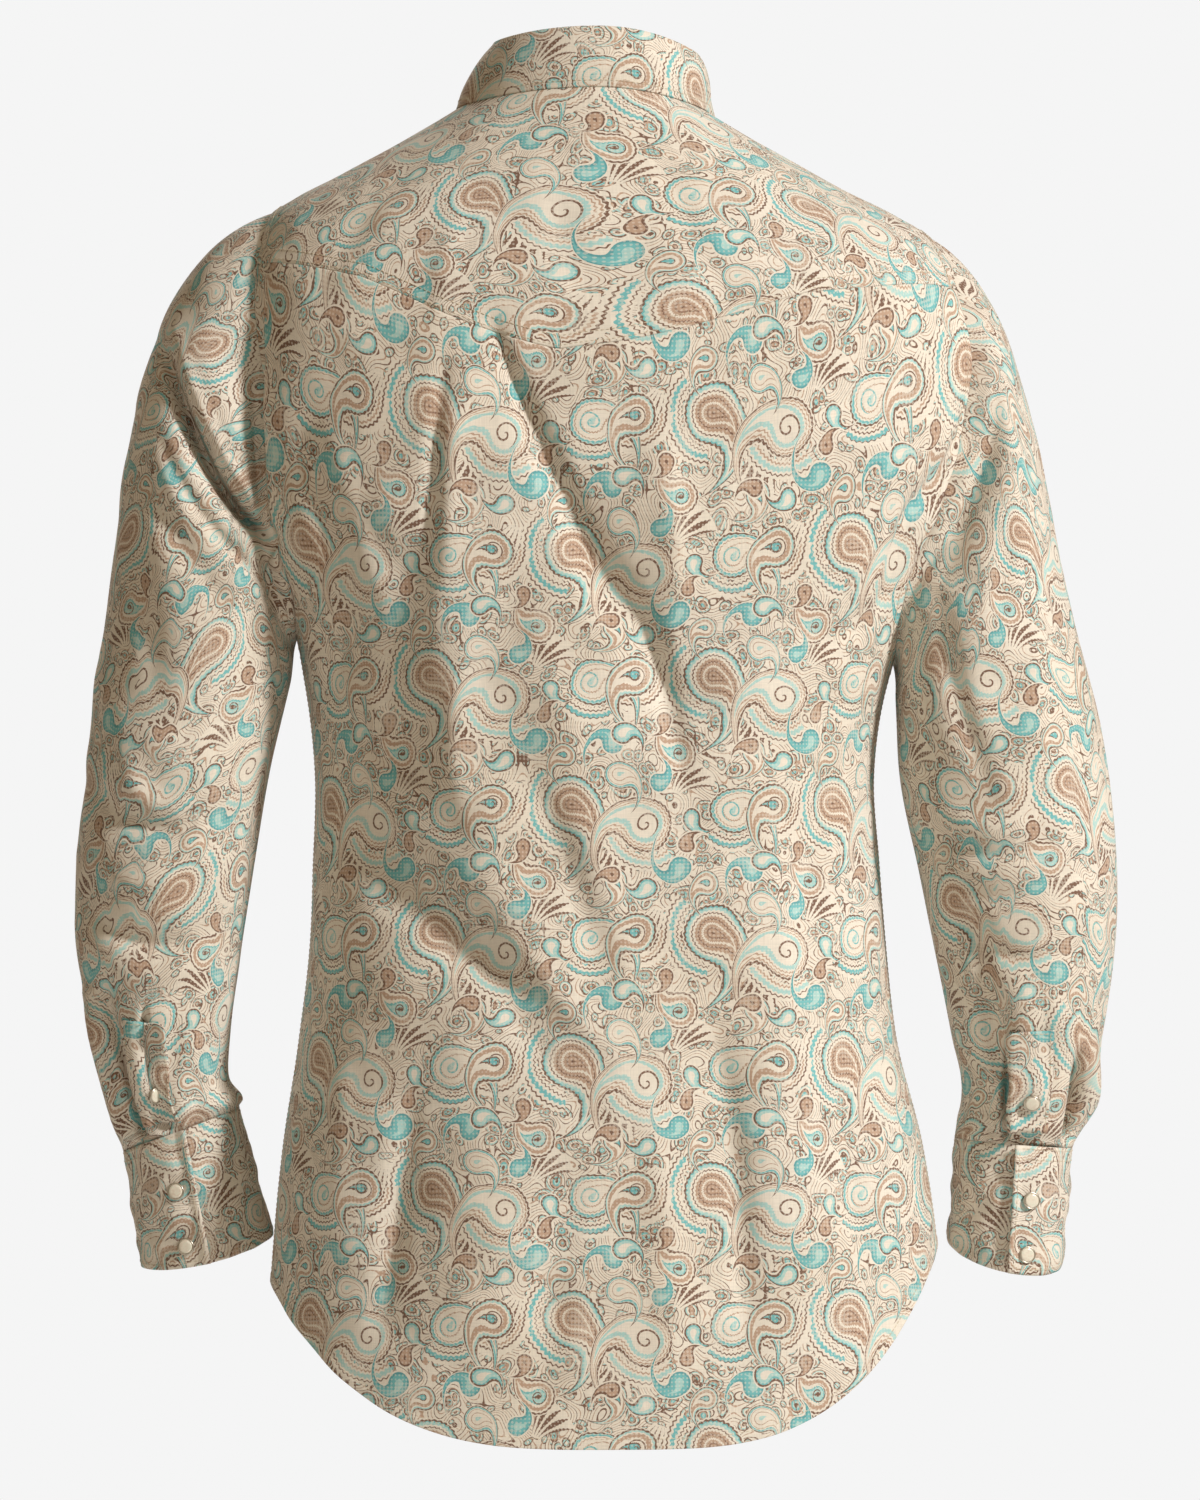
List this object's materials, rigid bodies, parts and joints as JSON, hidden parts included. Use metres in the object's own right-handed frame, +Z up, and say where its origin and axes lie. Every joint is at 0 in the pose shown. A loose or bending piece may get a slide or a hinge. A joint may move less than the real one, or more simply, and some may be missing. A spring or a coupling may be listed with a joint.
{
  "type": "western shirt",
  "caption": "Long-sleeved western shirt with a paisley print, a pointed back yoke, a turned-down collar, a curved hem and pearl snaps, held open as it is worn.",
  "frame": {"origin": "the centre of the neck base, where the shirt rests on its wearer's shoulders", "axes": "+Z up, +X to the shirt's left side, +Y to its back"},
  "size_m": [0.6258, 0.2479, 0.8449],
  "materials": {
    "printed_cotton": "matte",
    "pearl_snap": "gloss"
  },
  "bodies": {
    "root": {"yoke": "printed_cotton", "back": "printed_cotton", "front_left": "printed_cotton", "front_right": "printed_cotton", "front_placket": "printed_cotton", "collar_stand": "printed_cotton", "collar": "printed_cotton", "sleeve_left": "printed_cotton", "sleeve_right": "printed_cotton", "cuff_left": "printed_cotton", "cuff_right": "printed_cotton", "sleeve_placket_left": "printed_cotton", "sleeve_placket_right": "printed_cotton", "snap_stand": "pearl_snap", "snap_front_1": "pearl_snap", "snap_front_2": "pearl_snap", "snap_front_3": "pearl_snap", "snap_front_4": "pearl_snap", "snap_front_5": "pearl_snap", "snap_front_6": "pearl_snap", "snap_front_7": "pearl_snap", "snap_cuff_left_1": "pearl_snap", "snap_cuff_left_2": "pearl_snap", "snap_cuff_right_1": "pearl_snap", "snap_cuff_right_2": "pearl_snap", "snap_slit_left": "pearl_snap", "snap_slit_right": "pearl_snap"}
  },
  "joints": []
}
